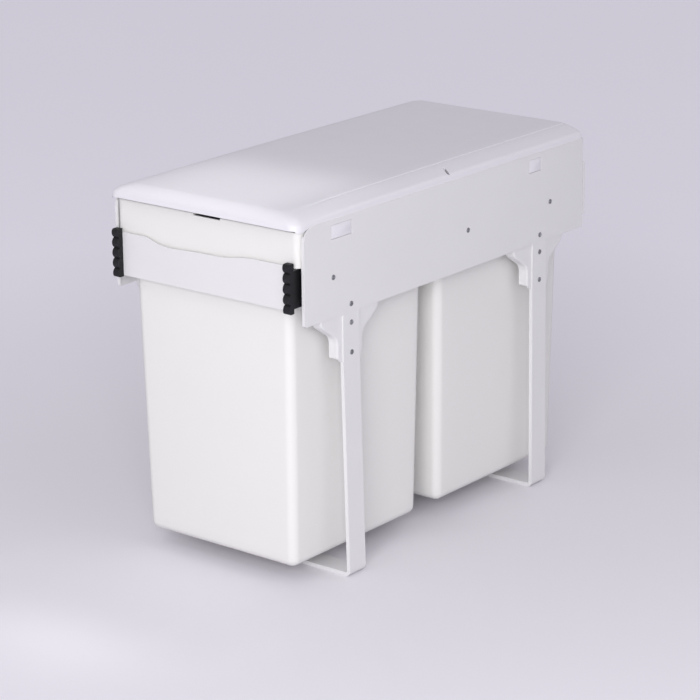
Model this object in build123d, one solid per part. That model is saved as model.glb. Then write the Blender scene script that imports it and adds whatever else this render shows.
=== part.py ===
from build123d import *
import math
import os

os.makedirs("parts", exist_ok=True)

# Pull-out waste unit for a kitchen base cabinet: a steel carcass on two floor straps, a clip-on lid,
# and a drawer frame on ball slides that carries two bins.
# While the pieces are made, x runs across the unit with the right side at +x, y runs back from the
# front edge of the side panels, and z runs up from the floor. Sizes are in millimetres.

# Side panels
unit_width = 240.0
panel_length = 466.0
panel_height = 96.5
panel_ground_height = 268.5
panel_sheet = 1.5
panel_front_corner = 15.0
panel_bottom_corner = 3.0
front_hem = 3.4
rear_bend = 2.0
rear_flange = 20.0

# Plate that ties the panels together at the back
rear_plate_height = 59.6
rear_plate_drop = 24.6
rear_plate_end_gap = 0.3
rear_plate_return = 3.5
rear_plate_chamfer = 3.2

# Floor straps
strap_width = 25.0
strap_thickness = 4.0
strap_bend = 6.0
front_strap_inset = 69.75
rear_strap_inset = 80.25
front_strap_splay = 5.3
rear_strap_splay = 1.7
floor_hole_radius = 2.6
floor_hole_spacing = 120.0

# Leg brackets
bracket_sheet = 1.5
bracket_half_top = 45.0
bracket_neck_half = 19.6
bracket_wing_drop = 6.2
bracket_slope_height = 17.2
bracket_curve = 12.0
bracket_drop = 48.0
bracket_flange = 11.0
bracket_bend = 2.0
bracket_chamfer = 5.0
pocket_depth = 2.5
bracket_slide_gap = 1.5

# Screws and rivets
head_radius = 2.6
head_height = 1.0
shank_radius = 1.6
shank_gap = 0.05
upper_screw_drop = 10.5
lower_screw_drop = 40.5
screw_reach = 1.5
rear_rivet_inset = 14.5
rear_rivet_edge = 12.0

# Ball slides
slide_height = 45.0
slide_width = 12.7
slide_sheet = 1.2
slide_axis_rise = 40.0
slide_front_setback = 5.0
slide_rear_setback = 11.0
slide_lip = 2.9
slide_web_gap = 1.4
slide_mouth_gap = 2.8
middle_mouth_gap = 0.5
ball_radius = 2.0
ball_gap = 0.05
balls_per_track = 6
cage_sheet = 0.6
cage_gap = 0.4
cage_length = 215.0
buffer_thickness = 3.0
buffer_gap = 0.3
front_slide_rivet = 38.0
middle_slide_rivet = 196.0
rear_slide_rivet = 51.0
rail_rivet_inset = 50.0

# Drawer frame
frame_sheet = 1.5
frame_top_gap = 0.7
band_reach = 6.3
band_sheet = 1.2
band_height = 43.9
band_top_drop = 3.7
band_dip = 5.4
band_dip_shoulder = 3.6
band_dip_left = 78.0
band_dip_right = 68.0
band_dip_offset = 15.0
band_hem = 3.0
band_hem_end_gap = 4.0
rail_tab = 12.0
frame_rear_gap = 6.5
rear_rail_height = 41.7
cross_rail_height = 28.0
cross_rail_gap = 3.5

# Grips
grip_width = 7.6
grip_side_gap = 4.0
grip_reach = 7.7
grip_length = 49.0
grip_ribs = 5
rib_pitch = 10.3
rib_radius = 6.0
grip_round = 3.2
grip_wing = 1.6
grip_wing_reach = 10.3
grip_wing_margin = 4.7
grip_wing_top_gap = 1.6
grip_screw_inset = 13.0
grip_screw_head = 2.2
grip_screw_depth = 4.0

# Bins
front_bin_depth = 208.2
bin_gap = 24.4
bin_front_gap = 7.6
bin_rear_gap = 4.2
bin_side_gap = 4.1
bin_floor_gap = 16.7
bin_taper = 0.017
bin_wall = 2.0
bin_corner = 9.0
bin_foot_round = 8.0
collar_height = 28.5
collar_side_gap = 0.7
collar_corner = 8.0
collar_outer_flare = 5.0
collar_outer_flare_rear = 2.5
collar_inner_flare = 6.0
collar_rim = 6.5
collar_skirt = 13.7
collar_apron = 6.0
notch_width = 34.0
notch_offset = 2.0
notch_depth = 2.2

# Lid
lid_height = 13.7
lid_wall = 2.2
lid_front_overhang = 10.5
lid_rear_setback = 1.0
lid_lip = 1.7
lid_rim_height = 3.5
lid_shoulder_inset = 3.2
lid_shoulder_height = 7.5
lid_side_border = 22.7
lid_front_border = 14.0
lid_rear_border = 1.0
lid_crest = 0.6
lid_front_corner = 11.0
lid_rear_corner = 4.5
lip_side_gap = 0.3
tab_gap = 0.1
tab_sheet = 1.7
tab_drop = 21.0
window_height = 14.0
window_drop = 5.5
window_gap = 0.25
nub_reach = 1.1
front_window_start = 41.0
front_window_length = 31.0
rear_window_end = 79.0
rear_window_length = 21.0
slit_length = 12.0
slit_width = 2.5
slit_setback = 233.8
slit_edge_gap = 7.7
slit_angle = 29.0

# Places that follow from the sizes
half_width = unit_width / 2
panel_inner = half_width - panel_sheet
panel_top = panel_ground_height + panel_height
hem_inner = half_width - front_hem

slide_z = panel_ground_height + slide_axis_rise
slide_half = slide_height / 2
slide_front = slide_front_setback
slide_rear = panel_length - slide_rear_setback
slide_moving_rear = slide_rear - buffer_thickness - buffer_gap

rail_outer = panel_inner - slide_width
rail_inner = rail_outer - frame_sheet
rail_bottom = slide_z - slide_half
ledge_z = slide_z + slide_half + frame_top_gap
band_front = -band_reach
band_back = band_front + band_sheet
band_top = ledge_z - band_top_drop
frame_rear = panel_length - panel_sheet - frame_rear_gap

bin_half = rail_inner - bin_side_gap
bin_front = band_back + bin_front_gap
front_bin_rear = bin_front + front_bin_depth
rear_bin_front = front_bin_rear + bin_gap
rear_bin_rear = frame_rear - frame_sheet - bin_rear_gap
collar_half = hem_inner - collar_side_gap
collar_top = ledge_z + collar_height
apron_bottom = ledge_z - collar_apron
rail_step = apron_bottom - frame_top_gap

grip_outer = hem_inner - grip_side_gap
grip_front = band_front - grip_reach
band_half = grip_outer - grip_wing

bracket_bottom = panel_ground_height - bracket_drop
bracket_top = slide_z - slide_half - bracket_slide_gap
panel_screw_z = (panel_ground_height + bracket_top) / 2
front_strap_y = front_strap_inset
rear_strap_y = panel_length - rear_strap_inset

rear_face = panel_length + panel_sheet
rear_end = panel_length + rear_plate_return
centre_y = (grip_front + rear_end) / 2


def save(name, shape):
    """Write one piece, with the unit's middle moved to y = 0."""
    export_step(Pos(0, -centre_y, 0) * shape, f"parts/{name}.step")


def save_pair(name, right):
    """Write a right-hand piece and its mirror image."""
    save(f"{name}_right", right)
    save(f"{name}_left", mirror(right, about=Plane.YZ))


def block(x0, x1, y0, y1, z0, z1):
    """Box between two corners."""
    middle = Pos((x0 + x1) / 2, (y0 + y1) / 2, (z0 + z1) / 2)
    return middle * Box(x1 - x0, y1 - y0, z1 - z0)


def group(shapes):
    """Separate solids kept together as one piece."""
    return Compound(children=list(shapes))


def hole_x(y, z, radius=shank_radius + shank_gap):
    """Cutter along x through one side of the unit."""
    return Pos(half_width, y, z) * Rot(0, 90, 0) * Cylinder(radius, slide_width * 4)


def fastener(length, head=head_radius):
    """Domed head above z = 0 and a shank below it."""
    dome = extrude(Circle(head), head_height)
    dome = fillet(dome.edges().group_by(Axis.Z)[-1], head_height * 0.6)
    return dome + Pos(0, 0, -length) * extrude(Circle(shank_radius), length)


def both_sides(shapes):
    """The right-hand shapes and their mirror images."""
    right = list(shapes)
    return group(right + [mirror(shape, about=Plane.YZ) for shape in right])


# Carcass

def panel_section():
    """Panel seen from above: hem, web, rear bend and rear flange."""
    bend_y = panel_length - rear_bend
    bend_x = half_width - rear_bend
    inner_bend = rear_bend - panel_sheet
    flange_x = half_width - rear_flange
    flange_y = panel_length - panel_sheet
    edges = [
        Line((hem_inner, 0), (half_width, 0)),
        Line((half_width, 0), (half_width, bend_y)),
        RadiusArc((half_width, bend_y), (bend_x, panel_length), -rear_bend),
        Line((bend_x, panel_length), (flange_x, panel_length)),
        Line((flange_x, panel_length), (flange_x, flange_y)),
        Line((flange_x, flange_y), (bend_x, flange_y)),
        RadiusArc((bend_x, flange_y), (panel_inner, bend_y), inner_bend),
        Line((panel_inner, bend_y), (panel_inner, panel_sheet)),
        Line((panel_inner, panel_sheet), (hem_inner, panel_sheet)),
        Line((hem_inner, panel_sheet), (hem_inner, 0)),
    ]
    return make_face(Wire(edges))


def corner_cutter(radius, z, side):
    """What lies outside a rounded corner at the panel's front edge."""
    z0, z1 = sorted((z, z - side * radius))
    corner = block(hem_inner - 1, half_width + 1, -1, radius, z0, z1)
    disc = Pos(half_width, radius, z - side * radius) * Rot(0, 90, 0) * Cylinder(radius, 4 * front_hem)
    return corner - disc


def windows():
    """Start and end of each snap window along the panel."""
    rear_end = panel_length - rear_window_end
    return [
        (front_window_start, front_window_start + front_window_length),
        (rear_end - rear_window_length, rear_end),
    ]


def slide_rivet_places():
    return [slide_front + front_slide_rivet, slide_rear - middle_slide_rivet, slide_rear - rear_slide_rivet]


def rear_rivet_places():
    top = panel_top - rear_plate_drop - rear_rivet_edge
    bottom = panel_top - rear_plate_drop - rear_plate_height + rear_rivet_edge
    return [top, bottom]


def rear_rivet_holes():
    holes = []
    for z in rear_rivet_places():
        hole = Cylinder(shank_radius + shank_gap, 4 * panel_sheet)
        holes.append(Pos(half_width - rear_rivet_inset, panel_length, z) * Rot(90, 0, 0) * hole)
    return holes


def side_panel():
    shape = Pos(0, 0, panel_ground_height) * extrude(panel_section(), panel_height)
    shape -= corner_cutter(panel_front_corner, panel_top, 1)
    shape -= corner_cutter(panel_bottom_corner, panel_ground_height, -1)
    window_top = panel_top - window_drop
    for start, end in windows():
        shape -= block(panel_inner - 1, half_width + 1, start, end, window_top - window_height, window_top)
    for y in slide_rivet_places():
        shape -= hole_x(y, slide_z)
    for y in (front_strap_y, rear_strap_y):
        shape -= hole_x(y, panel_screw_z)
    for hole in rear_rivet_holes():
        shape -= hole
    return shape


def rear_cross_plate():
    """Flat web behind the panels, with a short return bent back at each end."""
    top = panel_top - rear_plate_drop
    end = half_width - rear_plate_end_gap
    bottom = top - rear_plate_height
    plate = block(-end, end, panel_length, rear_end, bottom, top)
    plate = chamfer(plate.edges().filter_by(Axis.X).group_by(Axis.Y)[-1], rear_plate_chamfer)
    web_end = end - panel_sheet
    plate -= block(-web_end, web_end, rear_face, rear_end + 1, bottom - 1, top + 1)
    for hole in rear_rivet_holes():
        plate -= hole
        plate -= mirror(hole, about=Plane.YZ)
    return plate


def rear_plate_rivets():
    length = panel_sheet * 2 + head_height
    rivets = []
    for z in rear_rivet_places():
        tail = Pos(0, 0, -length) * extrude(Circle(head_radius), head_height)
        rivet = fastener(length) + tail
        rivets.append(Pos(half_width - rear_rivet_inset, rear_face, z) * Rot(-90, 0, 0) * rivet)
    return both_sides(rivets)


def strap_outline(grow, splay):
    """Half of the strap's line, from its top end down and in to the middle, set in by grow."""
    side = half_width - grow
    return [(side, panel_ground_height), (side, bracket_bottom), (side + splay, grow), (0, grow)]


def foot_strap(y, splay):
    """Flat bar bent into a U, with its legs leaning outward below the brackets."""
    outer = strap_outline(0, splay)
    inner = strap_outline(strap_thickness, splay)
    half = make_face(Polyline(*outer, *reversed(inner), outer[0]))
    section = half + mirror(half, about=Plane.YZ)
    bar = extrude(Plane.XZ * section, strap_width / 2, both=True)
    floor_bends = bar.edges().filter_by(Axis.Y).group_by(Axis.Z)
    bar = fillet(floor_bends[0], strap_bend)
    inner_bends = [
        edge for edge in bar.edges().filter_by(Axis.Y)
        if abs(edge.center().Z - strap_thickness) < 0.01 and abs(edge.center().X) > half_width / 2
    ]
    bar = Pos(0, y, 0) * fillet(inner_bends, strap_bend - strap_thickness)
    for drop in (upper_screw_drop, lower_screw_drop):
        hole = hole_x(y, panel_ground_height - drop)
        bar -= hole
        bar -= mirror(hole, about=Plane.YZ)
    for side in (-1, 1):
        bar -= Pos(side * floor_hole_spacing / 2, y, 0) * Cylinder(floor_hole_radius, 4 * strap_thickness)
    return bar


def bracket_outline(margin):
    """Straight neck that slopes out to the wings, drawn past its top and bottom by margin."""
    wing_z = panel_ground_height - bracket_wing_drop
    neck_z = wing_z - bracket_slope_height
    right = [
        (bracket_neck_half, bracket_bottom - margin),
        (bracket_neck_half, neck_z),
        (bracket_half_top, wing_z),
        (bracket_half_top, bracket_top + margin),
    ]
    left = [(-y, z) for y, z in reversed(right)]
    outline = make_face(Polyline(*right, *left, right[0]))
    turns = outline.vertices().filter_by(lambda corner: neck_z - 0.01 < corner.Y < wing_z + 0.01)
    return fillet(turns, bracket_curve)


def leg_bracket(y):
    """Pressed plate on the inside of panel and strap, with flanges along its curved edges."""
    plate = bracket_outline(0)
    margin = 2 * bracket_sheet
    rims = plate - offset(bracket_outline(margin), -bracket_sheet)
    depth = pocket_depth + bracket_sheet
    pocket_half = strap_width / 2
    on_face = Plane.YZ.offset(panel_inner)
    shape = extrude(on_face * plate, -bracket_sheet)
    shape += extrude(on_face * rims, -bracket_flange)
    back_edges = shape.edges().group_by(Axis.X)[-1]
    bends = [edge for edge in back_edges if abs(edge.center().Y) > bracket_neck_half - 0.01]
    shape = fillet(bends, bracket_bend)
    pan_half = pocket_half + bracket_sheet
    pan_top = panel_ground_height + bracket_sheet
    shape += block(panel_inner - depth, panel_inner, -pan_half, pan_half, bracket_bottom, pan_top)
    pocket_x = panel_inner - pocket_depth
    shape -= block(pocket_x, half_width, -pocket_half, pocket_half, bracket_bottom - 1, panel_ground_height)
    for side in (-1, 1):
        tip = Pos(side * bracket_neck_half, bracket_bottom) * Rot(0, 0, 45) * Rectangle(
            bracket_chamfer * math.sqrt(2), bracket_chamfer * math.sqrt(2)
        )
        shape -= extrude(on_face * tip, -2 * bracket_flange)
    shape = Pos(0, y, 0) * shape
    for z in (panel_screw_z, panel_ground_height - upper_screw_drop, panel_ground_height - lower_screw_drop):
        shape -= hole_x(y, z)
    return shape


def bracket_screws():
    through_panel = panel_sheet + bracket_sheet + screw_reach
    through_strap = strap_thickness + bracket_sheet + screw_reach
    screws = []
    for y in (front_strap_y, rear_strap_y):
        screws.append(Pos(half_width, y, panel_screw_z) * Rot(0, 90, 0) * fastener(through_panel))
        for drop in (upper_screw_drop, lower_screw_drop):
            z = panel_ground_height - drop
            screws.append(Pos(half_width, y, z) * Rot(0, 90, 0) * fastener(through_strap))
    return both_sides(screws)


def slide_rivets():
    length = panel_sheet + slide_sheet
    rivets = []
    for y in slide_rivet_places():
        rivets.append(Pos(half_width, y, slide_z) * Rot(0, 90, 0) * fastener(length))
    return both_sides(rivets)


# Ball slides. Depths run inward from the panel's inner face, heights up or down from the slide axis.

def slide_block(depth0, depth1, y0, y1, half):
    return block(panel_inner - depth1, panel_inner - depth0, y0, y1, slide_z - half, slide_z + half)


outer_mouth = slide_width - slide_mouth_gap
outer_inside = slide_half - slide_sheet
outer_ball_height = outer_inside - ball_gap - ball_radius
middle_half = outer_inside - 2 * (ball_gap + ball_radius)
middle_back = slide_sheet + slide_web_gap
middle_mouth = slide_width - slide_sheet - middle_mouth_gap
middle_inside = middle_half - slide_sheet
inner_ball_height = middle_inside - ball_gap - ball_radius
inner_half = middle_inside - 2 * (ball_gap + ball_radius)
inner_back = middle_back + slide_sheet + cage_gap * 2 + cage_sheet
outer_cage_mouth = outer_mouth - slide_sheet - cage_gap
inner_cage_mouth = middle_mouth - slide_sheet - cage_gap
outer_ball_depth = outer_cage_mouth - ball_radius - cage_sheet / 2
inner_ball_depth = inner_cage_mouth - ball_radius - cage_sheet / 2
cage_front = (slide_front + slide_rear - cage_length) / 2


def lipped_channel(back, mouth, half, y0, y1):
    """Channel open to the drawer side, with lips that keep the balls in."""
    shape = slide_block(back, mouth, y0, y1, half)
    shape -= slide_block(back + slide_sheet, mouth - slide_sheet, y0 - 1, y1 + 1, half - slide_sheet)
    slot_half = half - slide_sheet - slide_lip
    return shape - slide_block(mouth - slide_sheet - 1, mouth + 1, y0 - 1, y1 + 1, slot_half)


def slide_outer():
    shape = lipped_channel(0, outer_mouth, slide_half, slide_front, slide_rear)
    for y in slide_rivet_places():
        shape -= hole_x(y, slide_z)
    return shape


def slide_middle():
    return lipped_channel(middle_back, middle_mouth, middle_half, slide_front, slide_moving_rear)


def rail_rivet_places():
    middle = (rear_bin_front + slide_moving_rear) / 2
    return [slide_front + rail_rivet_inset, middle, slide_moving_rear - rail_rivet_inset]


def rail_rivet_holes():
    hole = Rot(0, 90, 0) * Cylinder(shank_radius + shank_gap, 4 * slide_sheet)
    return [Pos(rail_outer, y, slide_z) * hole for y in rail_rivet_places()]


def slide_inner():
    shape = slide_block(inner_back, slide_width, slide_front, slide_moving_rear, inner_half)
    depth = slide_width - slide_sheet
    half = inner_half - slide_sheet
    shape -= slide_block(inner_back - 1, depth, slide_front - 1, slide_moving_rear + 1, half)
    for hole in rail_rivet_holes():
        shape -= hole
    return shape


def rail_rivets():
    """Rivets through the side rail and the inner slide member, flush inside the slide."""
    rivets = []
    for y in rail_rivet_places():
        rivets.append(Pos(rail_inner, y, slide_z) * Rot(0, -90, 0) * fastener(frame_sheet + slide_sheet))
    return both_sides(rivets)


def ball_places(depth, height):
    """Centres of the balls in an upper and a lower track."""
    pitch = cage_length / balls_per_track
    places = []
    for side in (-1, 1):
        for index in range(balls_per_track):
            y = cage_front + pitch * (index + 0.5)
            places.append(Pos(panel_inner - depth, y, slide_z + side * height))
    return places


def ball_cage(back, mouth, depth, height):
    """Thin channel with a hole for each ball."""
    half = height + cage_sheet / 2
    shape = slide_block(back, mouth, cage_front, cage_front + cage_length, half)
    shape -= slide_block(
        back + cage_sheet, mouth + 1, cage_front - 1, cage_front + cage_length + 1, half - cage_sheet
    )
    for place in ball_places(depth, height):
        shape -= place * Cylinder(ball_radius + ball_gap, 4 * cage_sheet)
    return shape


def balls(depth, height):
    return group(place * Sphere(ball_radius) for place in ball_places(depth, height))


def slide_end_buffers():
    """Rubber stops that fill the rear ends of the outer members."""
    depth = outer_mouth - slide_sheet
    half = outer_inside - slide_lip
    return both_sides([slide_block(slide_sheet, depth, slide_rear - buffer_thickness, slide_rear, half)])


# Drawer frame

def drawer_side_rail():
    shape = block(rail_inner, rail_outer, band_back, frame_rear, rail_bottom, ledge_z)
    tab_inner = rail_inner - rail_tab
    tab_top = band_top - band_dip
    shape += block(tab_inner, rail_inner, band_back, band_back + frame_sheet, rail_bottom, tab_top)
    shape -= block(rail_inner - 1, rail_outer + 1, band_back - 1, slide_front, rail_step, ledge_z + 1)
    for hole in rail_rivet_holes():
        shape -= hole
    return shape


def drawer_front_band():
    """Front plate with a shallow dip in its top edge and a short hem along its foot."""
    bottom = band_top - band_height
    shoulder = band_top - band_dip_shoulder
    dip = Spline(
        (-band_dip_left, band_top),
        (-band_dip_left + band_dip_offset, shoulder),
        (-band_dip_offset, band_top - band_dip),
        (band_dip_right / 2, shoulder),
        (band_dip_right, band_top),
        tangents=[(1, 0), (1, 0)],
    )
    outline = [
        Line((-band_half, bottom), (band_half, bottom)),
        Line((band_half, bottom), (band_half, band_top)),
        Line((band_half, band_top), (band_dip_right, band_top)),
        dip,
        Line((-band_dip_left, band_top), (-band_half, band_top)),
        Line((-band_half, band_top), (-band_half, bottom)),
    ]
    shape = extrude(Plane.XZ.offset(-band_back) * make_face(Wire(outline)), band_sheet)
    hem_half = rail_inner - rail_tab - band_hem_end_gap
    shape += block(-hem_half, hem_half, band_back, band_back + band_hem, bottom, bottom + band_sheet)
    for hole in grip_screw_holes():
        shape -= hole
        shape -= mirror(hole, about=Plane.YZ)
    return shape


def drawer_rear_rail():
    bottom = ledge_z - rear_rail_height
    return block(-rail_inner, rail_inner, frame_rear - frame_sheet, frame_rear, bottom, ledge_z)


def drawer_cross_rail():
    """Channel between the bins that carries their collars."""
    y0 = front_bin_rear + cross_rail_gap
    y1 = rear_bin_front - cross_rail_gap
    bottom = ledge_z - cross_rail_height
    shape = block(-rail_inner, rail_inner, y0, y1, bottom, ledge_z)
    top = ledge_z - frame_sheet
    return shape - block(-rail_inner - 1, rail_inner + 1, y0 + frame_sheet, y1 - frame_sheet, bottom - 1, top)


# Grips

grip_z = band_top - band_height / 2 + (grip_length - band_height) / 4
grip_middle_x = (band_half + grip_outer - grip_width) / 2


def grip_screw_holes():
    holes = []
    for side in (-1, 1):
        z = grip_z + side * grip_screw_inset
        hole = Cylinder(shank_radius + shank_gap, 2 * (grip_screw_depth + band_sheet))
        holes.append(Pos(grip_middle_x, band_back, z) * Rot(90, 0, 0) * hole)
    return holes


def grip():
    """Ribbed bar on the band's front face, with a side wing past the band's end."""
    base_front = grip_front + rib_radius - math.sqrt(rib_radius ** 2 - (rib_pitch / 2) ** 2)
    profile = Pos((base_front + band_front) / 2, grip_z) * Rectangle(band_front - base_front, grip_length)
    for index in range(grip_ribs):
        z = grip_z + (index - (grip_ribs - 1) / 2) * rib_pitch
        profile += Pos(grip_front + rib_radius, z) * Circle(rib_radius)
    frame = Pos((grip_front + band_front) / 2, grip_z) * Rectangle(grip_reach, grip_length)
    frame = fillet(frame.vertices().group_by(Axis.X)[0], grip_round)
    profile = profile & frame
    bar = extrude(Plane.YZ.offset(grip_outer - grip_width) * profile, grip_width)
    wing_bottom = grip_z - grip_length / 2 + grip_wing_margin
    wing_top = apron_bottom - grip_wing_top_gap
    wing_back = band_front + grip_wing_reach
    bar += block(band_half, grip_outer, band_front, wing_back, wing_bottom, wing_top)
    for hole in grip_screw_holes():
        bar -= hole
    return bar


def grip_screws():
    screws = []
    for side in (-1, 1):
        place = Pos(grip_middle_x, band_back, grip_z + side * grip_screw_inset)
        screws.append(place * Rot(-90, 0, 0) * fastener(band_sheet + grip_screw_depth, grip_screw_head))
    return both_sides(screws)


# Bins

def rounded_plan(half, y0, y1, z, radius):
    plan = Pos(0, (y0 + y1) / 2, z) * Rectangle(2 * half, y1 - y0)
    return fillet(plan.vertices(), radius)


def tapered_body(y0, y1, inset, bottom, top):
    """Body that widens upward, set in by inset; y0 and y1 are its ends at the ledge."""
    plans = []
    for z in (bottom, top):
        draw_in = inset + bin_taper * (ledge_z - z)
        plans.append(rounded_plan(bin_half - draw_in, y0 + draw_in, y1 - draw_in, z, bin_corner - inset))
    body = loft(plans, ruled=True)
    return fillet(body.edges().group_by(Axis.Z)[0], bin_foot_round - inset)


def waste_bin(y0, y1, collar_y0, collar_y1, skirt_end):
    """Tapered bin with a wide collar; its skirt hangs at the end that faces away from the other bin."""
    shape = tapered_body(y0, y1, 0, bin_floor_gap, ledge_z + bin_wall)
    collar = rounded_plan(collar_half, collar_y0, collar_y1, ledge_z, collar_corner)
    shape += extrude(collar, collar_height)
    skirt_half = rail_inner - frame_sheet
    skirt_y = sorted((collar_y0, y0 + bin_wall) if skirt_end < 0 else (y1 - bin_wall, collar_y1))
    shape += block(-skirt_half, skirt_half, skirt_y[0], skirt_y[1], ledge_z - collar_skirt, ledge_z)
    shape -= tapered_body(y0, y1, bin_wall, bin_floor_gap + bin_wall, ledge_z + 2 * bin_wall)
    half = collar_half - bin_wall
    corner = collar_corner - bin_wall
    inside = rounded_plan(half, collar_y0 + bin_wall, collar_y1 - bin_wall, ledge_z + bin_wall, corner)
    shape -= extrude(inside, collar_height - 2 * bin_wall)
    half = collar_half - collar_rim
    mouth_z = collar_top - 2 * bin_wall
    mouth = rounded_plan(half, collar_y0 + collar_rim, collar_y1 - collar_rim, mouth_z, bin_wall)
    return shape - extrude(mouth, 3 * bin_wall)


def front_bin():
    """Bin with a finger notch in its rim and an apron that hangs in front of the slides."""
    y0 = bin_front - collar_outer_flare
    y1 = front_bin_rear + collar_inner_flare
    shape = waste_bin(bin_front, front_bin_rear, y0, y1, -1)
    apron = rounded_plan(collar_half, y0, y1, apron_bottom, collar_corner)
    half = collar_half - bin_wall
    apron -= rounded_plan(half, y0 + bin_wall, y1 - bin_wall, apron_bottom, collar_corner - bin_wall)
    front_part = block(-half_width, half_width, y0, slide_front - frame_top_gap, apron_bottom, ledge_z)
    shape += extrude(apron, collar_apron) & front_part
    x0 = notch_offset - notch_width / 2
    x1 = notch_offset + notch_width / 2
    return shape - block(x0, x1, y0 - 1, y0 + collar_rim + 1, collar_top - notch_depth, collar_top + 1)


def rear_bin():
    y0 = rear_bin_front - collar_inner_flare
    return waste_bin(rear_bin_front, rear_bin_rear, y0, rear_bin_rear + collar_outer_flare_rear, 1)


# Lid

def lid_profile():
    """Insets from the side and heights above the panels, from the rim up to the flat top."""
    points = [(0, lid_rim_height)]
    for angle in (35, 65, 90):
        turn = math.radians(angle)
        rise = (lid_shoulder_height - lid_rim_height) * math.sin(turn)
        points.append((lid_shoulder_inset * (1 - math.cos(turn)), lid_rim_height + rise))
    points.append((lid_side_border - lid_crest, lid_height - lid_crest))
    points.append((lid_side_border, lid_height))
    return points


def lid_plan(inset, height, shell):
    """Outline of the lid at one height, set in by the shell thickness."""
    side = half_width - shell - inset
    y0 = -lid_front_overhang + shell + inset * lid_front_border / lid_side_border
    y1 = panel_length - lid_rear_setback - shell - inset * lid_rear_border / lid_side_border
    plan = Pos(0, (y0 + y1) / 2, panel_top + height) * Rectangle(2 * side, y1 - y0)
    ends = plan.vertices().group_by(Axis.Y)
    plan = fillet(ends[0], lid_front_corner - shell)
    return fillet(plan.vertices().group_by(Axis.Y)[-1], lid_rear_corner - shell)


def lid_body(shell, bottom):
    """Solid form of the lid; with a shell thickness it is the hollow below."""
    plans = [lid_plan(0, bottom, shell)]
    plans += [lid_plan(inset, height - shell, shell) for inset, height in lid_profile()]
    return loft(plans, ruled=True)


def lid_tabs():
    """Snap tabs inside the panels, with nubs that fill the windows."""
    window_top = panel_top - window_drop
    face = panel_inner - tab_gap
    shapes = []
    for start, end in windows():
        y0 = start + window_gap
        y1 = end - window_gap
        tab = block(face - tab_sheet, face, y0, y1, panel_top - tab_drop, panel_top + lid_rim_height)
        z0 = window_top - window_height + window_gap
        z1 = window_top - window_gap
        shapes.append(tab + block(face - tab_sheet / 2, face + nub_reach, y0, y1, z0, z1))
    return shapes


def lid():
    shape = lid_body(0, -lid_lip)
    shape -= lid_body(lid_wall, -lid_lip - 1)
    below = panel_top - lid_lip - 2
    shape -= block(-half_width - 1, half_width + 1, -lip_side_gap, panel_length + 1, below, panel_top)
    for tab in lid_tabs():
        shape += tab
        shape += mirror(tab, about=Plane.YZ)
    slit = Pos(half_width - slit_edge_gap, panel_length - slit_setback, panel_top + lid_shoulder_height)
    cutter = slit * Rot(0, 0, -slit_angle) * Box(slit_length, slit_width, 4 * lid_wall)
    return shape - cutter - mirror(cutter, about=Plane.YZ)


save_pair("side_panel", side_panel())
save("rear_cross_plate", rear_cross_plate())
save("rear_plate_rivets", rear_plate_rivets())
save("foot_strap_front", foot_strap(front_strap_y, front_strap_splay))
save("foot_strap_rear", foot_strap(rear_strap_y, rear_strap_splay))
save_pair("leg_bracket_front", leg_bracket(front_strap_y))
save_pair("leg_bracket_rear", leg_bracket(rear_strap_y))
save("bracket_screws", bracket_screws())
save("slide_rivets", slide_rivets())
save("lid", lid())

save_pair("slide_outer", slide_outer())
save_pair("slide_middle", slide_middle())
save_pair("slide_inner", slide_inner())
save_pair(
    "outer_ball_cage",
    ball_cage(slide_sheet + cage_gap, outer_cage_mouth, outer_ball_depth, outer_ball_height),
)
save_pair("outer_balls", balls(outer_ball_depth, outer_ball_height))
save_pair(
    "inner_ball_cage",
    ball_cage(middle_back + slide_sheet + cage_gap, inner_cage_mouth, inner_ball_depth, inner_ball_height),
)
save_pair("inner_balls", balls(inner_ball_depth, inner_ball_height))
save("slide_end_buffers", slide_end_buffers())

save_pair("drawer_side_rail", drawer_side_rail())
save("drawer_front_band", drawer_front_band())
save("drawer_rear_rail", drawer_rear_rail())
save("drawer_cross_rail", drawer_cross_rail())
save("rail_rivets", rail_rivets())
save_pair("grip", grip())
save("grip_screws", grip_screws())
save("front_bin", front_bin())
save("rear_bin", rear_bin())
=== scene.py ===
import math
import bmesh
import bpy
import numpy as np
from mathutils import Matrix, Vector


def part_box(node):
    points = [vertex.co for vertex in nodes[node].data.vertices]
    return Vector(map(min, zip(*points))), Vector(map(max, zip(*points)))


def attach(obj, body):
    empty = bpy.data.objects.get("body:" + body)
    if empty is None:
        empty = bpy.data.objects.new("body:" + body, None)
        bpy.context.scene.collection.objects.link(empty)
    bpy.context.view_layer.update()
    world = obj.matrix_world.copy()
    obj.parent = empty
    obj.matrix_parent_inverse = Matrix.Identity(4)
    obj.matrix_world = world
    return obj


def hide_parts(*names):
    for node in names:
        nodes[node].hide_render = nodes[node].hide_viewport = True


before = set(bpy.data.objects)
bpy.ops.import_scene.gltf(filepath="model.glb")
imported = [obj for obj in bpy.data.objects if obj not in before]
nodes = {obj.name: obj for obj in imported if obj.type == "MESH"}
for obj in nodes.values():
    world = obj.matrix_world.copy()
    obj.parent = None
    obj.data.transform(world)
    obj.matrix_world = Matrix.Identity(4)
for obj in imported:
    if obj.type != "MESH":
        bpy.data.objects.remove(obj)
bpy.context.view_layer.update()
scene = bpy.context.scene
mm = 0.001
print("frame loaded:", len(nodes), "nodes")


# Quads between neighbouring points of a grid; a closed way joins its last row or column to its first.
def gridFaces(rows, columns, closeRows=False, closeColumns=False):
    row, column = np.meshgrid(
        np.arange(rows if closeRows else rows - 1), np.arange(columns if closeColumns else columns - 1), indexing="ij"
    )
    nextRow, nextColumn = (row + 1) % rows, (column + 1) % columns
    here, below = row * columns, nextRow * columns
    return np.stack([here + column, here + nextColumn, below + nextColumn, below + column], -1).reshape(-1, 4)


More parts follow.
